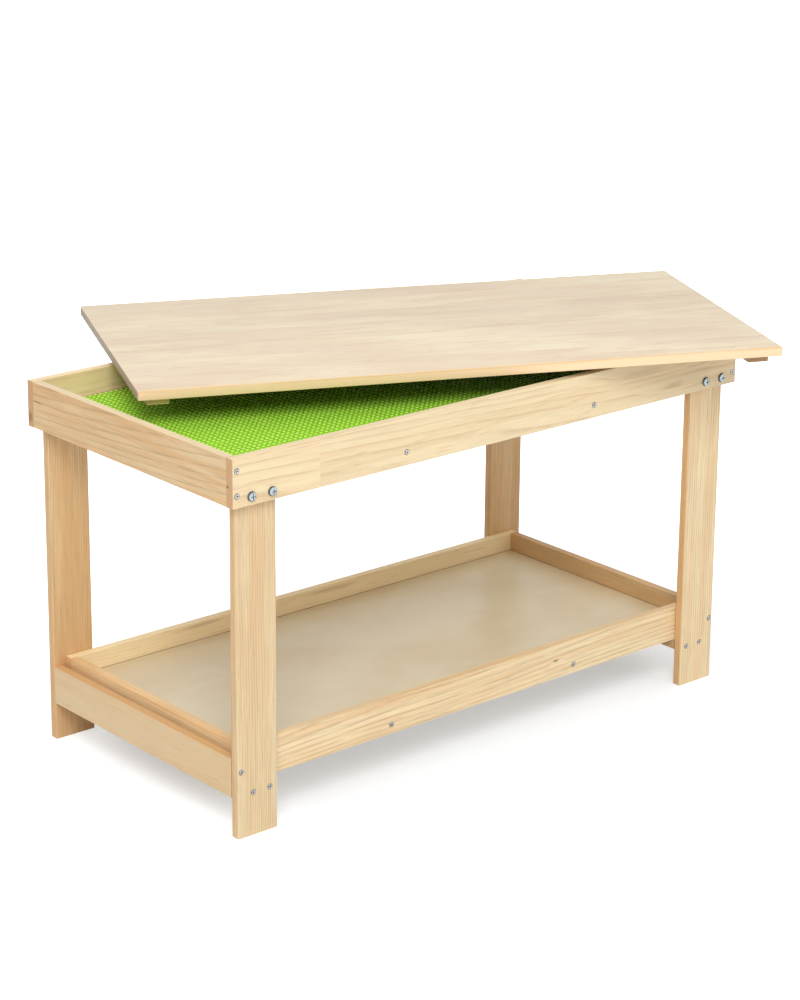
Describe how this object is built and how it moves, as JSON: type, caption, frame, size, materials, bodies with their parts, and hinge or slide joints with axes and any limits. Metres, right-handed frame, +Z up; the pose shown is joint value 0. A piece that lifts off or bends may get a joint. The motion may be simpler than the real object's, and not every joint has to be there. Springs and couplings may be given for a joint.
{
  "type": "kids table with storage",
  "caption": "Low wooden play table with a studded brick-plate tray, a lift-off lid laid askew on it and a shallow storage box on a frame between the legs.",
  "frame": {"origin": "on the floor, under the middle of the whole object's outline seen from above, with the lid askew as pictured", "axes": "+X to the right along the table's length, +Y to the back, +Z up"},
  "size_m": [0.967, 0.7318, 0.502],
  "materials": {
    "pine": "clear satin lacquer on pale pine, fine grain along each board",
    "pale_pine": "smooth matt, paler and greyer than the boards, faint glued strips along the length",
    "fibreboard": "smooth satin grey-beige thin board",
    "zinc": "bright zinc-plated steel",
    "brick_green": "glossy lime green moulded plastic with a grid of round studs"
  },
  "bodies": {
    "table": {"tray_front_board": "pine", "tray_back_board": "pine", "tray_left_board": "pine", "tray_right_board": "pine", "tray_floor_panel": "fibreboard", "tray_batten_left": "pine", "tray_batten_right": "pine", "brick_plate_left": "brick_green", "brick_plate_right": "brick_green", "tray_corner_screws": "zinc", "tray_batten_screws": "zinc", "leg_front_left": "pine", "leg_front_right": "pine", "leg_back_left": "pine", "leg_back_right": "pine", "leg_bolts": "zinc", "leg_bolt_washers": "zinc", "leg_bolt_nuts": "zinc", "end_rail_left": "pine", "end_rail_right": "pine", "end_rail_screws": "zinc", "cleat_left": "pine", "cleat_right": "pine", "cleat_screws": "zinc"},
    "storage_box": {"box_front_board": "pine", "box_back_board": "pine", "box_left_board": "pine", "box_right_board": "pine", "box_floor_panel": "fibreboard", "box_batten_left": "pine", "box_batten_right": "pine", "box_corner_screws": "zinc", "box_batten_screws": "zinc"},
    "lid": {"lid_board": "pale_pine", "lid_batten_left": "pine", "lid_batten_right": "pine", "lid_batten_screws": "zinc"}
  },
  "joints": [
    {"name": "lid_lift", "type": "slide", "parent": "table", "child": "lid", "axis": [0, 0, 1], "range_m": [0, 0.15]},
    {"name": "storage_box_lift", "type": "slide", "parent": "table", "child": "storage_box", "axis": [0, 0, 1], "range_m": [0, 0.12]}
  ]
}
